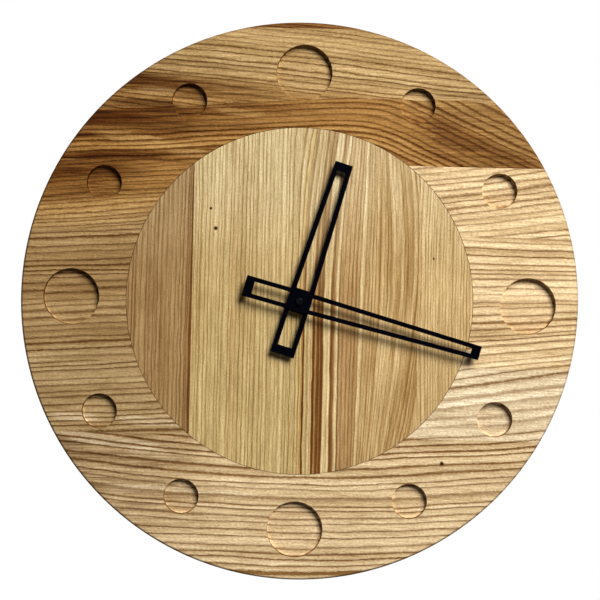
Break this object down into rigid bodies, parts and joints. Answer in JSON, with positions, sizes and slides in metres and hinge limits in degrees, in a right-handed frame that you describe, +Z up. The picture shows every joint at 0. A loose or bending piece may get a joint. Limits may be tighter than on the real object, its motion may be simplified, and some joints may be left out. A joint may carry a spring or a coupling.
{
  "type": "wall clock",
  "caption": "Round wooden wall clock with recessed round hour marks, two open black hands and a quartz movement with a toothed train behind the centre panel.",
  "frame": {"origin": "on the axis of the hands, halfway through the thickness of the wooden dial, which is also the centroid", "axes": "+Z up to 12 o'clock, +X to the right as one reads the dial, the dial faces -Y and the wall is at +Y; a positive turn about +Y is clockwise on the dial"},
  "size_m": [0.35, 0.0313, 0.35],
  "materials": {
    "ash_top": "oiled ash, brushed grain",
    "ash_dark": "oiled ash heartwood, brushed grain",
    "ash_left": "oiled ash, brushed grain",
    "ash_pale": "oiled ash sapwood, brushed grain",
    "ash_bottom": "oiled ash, brushed grain",
    "black_paint": "satin black paint on sheet metal",
    "plated_steel": "zinc plated",
    "brass": "plain",
    "copper": "lacquered copper wire",
    "ferrite": "sintered ferrite magnet",
    "rubber": "matt",
    "black_plastic": "fine texture",
    "white_plastic": "moulded",
    "board_green": "solder mask on glass fibre",
    "cell_wrap": "plain printed film on a steel can"
  },
  "bodies": {
    "clock": {"ring_board_crown": "ash_top", "ring_board_top": "ash_top", "ring_board_upper_left": "ash_dark", "ring_board_upper_right": "ash_pale", "ring_board_middle_left": "ash_left", "ring_board_middle_right": "ash_pale", "ring_board_lower_left": "ash_left", "ring_board_lower_right": "ash_pale", "ring_board_bottom": "ash_bottom", "centre_board_left": "ash_left", "centre_board_middle": "ash_bottom", "centre_board_right": "ash_pale", "hanger_plate": "plated_steel", "hanger_screw_upper": "plated_steel", "hanger_screw_lower": "plated_steel", "dial_washer": "brass", "shaft_nut": "brass", "gasket": "rubber", "movement_case": "black_plastic", "movement_cover": "black_plastic", "middle_plate": "white_plastic", "gear_bridge": "white_plastic", "stator": "plated_steel", "coil_core": "plated_steel", "coil_bobbin": "black_plastic", "coil_winding": "copper", "circuit_board": "board_green", "chip": "black_plastic", "quartz_crystal": "plated_steel", "contact_positive": "brass", "contact_negative": "brass", "battery": "cell_wrap"},
    "minute": {"minute_hand": "black_paint", "minute_hand_nut": "black_paint", "minute_arbor": "brass", "minute_wheel": "brass"},
    "hour": {"hour_hand": "black_paint", "hour_wheel": "brass"},
    "motion": {"motion_wheel": "white_plastic"},
    "knob": {"setting_knob": "white_plastic"},
    "third": {"third_wheel": "white_plastic"},
    "seconds": {"seconds_wheel": "white_plastic"},
    "reduction": {"reduction_wheel": "white_plastic"},
    "motor": {"rotor": "white_plastic", "rotor_magnet": "ferrite"}
  },
  "joints": [
    {"name": "minute_turn", "type": "hinge", "parent": "clock", "child": "minute", "pos_m": [0, 0, 0], "axis": [0, 1, 0], "continuous": true},
    {"name": "hour_turn", "type": "hinge", "parent": "clock", "child": "hour", "pos_m": [0, 0, 0], "axis": [0, 1, 0], "continuous": true},
    {"name": "motion_turn", "type": "hinge", "parent": "clock", "child": "motion", "pos_m": [-0.0096, 0, 0], "axis": [0, 1, 0], "continuous": true},
    {"name": "knob_turn", "type": "hinge", "parent": "clock", "child": "knob", "pos_m": [-0.01887, 0, 0.00248], "axis": [0, 1, 0], "continuous": true},
    {"name": "third_turn", "type": "hinge", "parent": "clock", "child": "third", "pos_m": [-0.00619, 0, 0.00885], "axis": [0, 1, 0], "continuous": true},
    {"name": "seconds_turn", "type": "hinge", "parent": "clock", "child": "seconds", "pos_m": [0, 0, 0], "axis": [0, 1, 0], "continuous": true},
    {"name": "reduction_turn", "type": "hinge", "parent": "clock", "child": "reduction", "pos_m": [0.00846, 0, 0.00308], "axis": [0, 1, 0], "continuous": true},
    {"name": "rotor_turn", "type": "hinge", "parent": "clock", "child": "motor", "pos_m": [0.01535, 0, 0.00429], "axis": [0, 1, 0], "continuous": true}
  ],
  "couplings": [
    {"joint": "hour_turn", "follows": "minute_turn", "ratio": 0.083333},
    {"joint": "motion_turn", "follows": "minute_turn", "ratio": -0.33333},
    {"joint": "knob_turn", "follows": "minute_turn", "ratio": 1},
    {"joint": "third_turn", "follows": "minute_turn", "ratio": -7.5},
    {"joint": "seconds_turn", "follows": "minute_turn", "ratio": 60},
    {"joint": "reduction_turn", "follows": "minute_turn", "ratio": -300},
    {"joint": "rotor_turn", "follows": "minute_turn", "ratio": 1800}
  ]
}
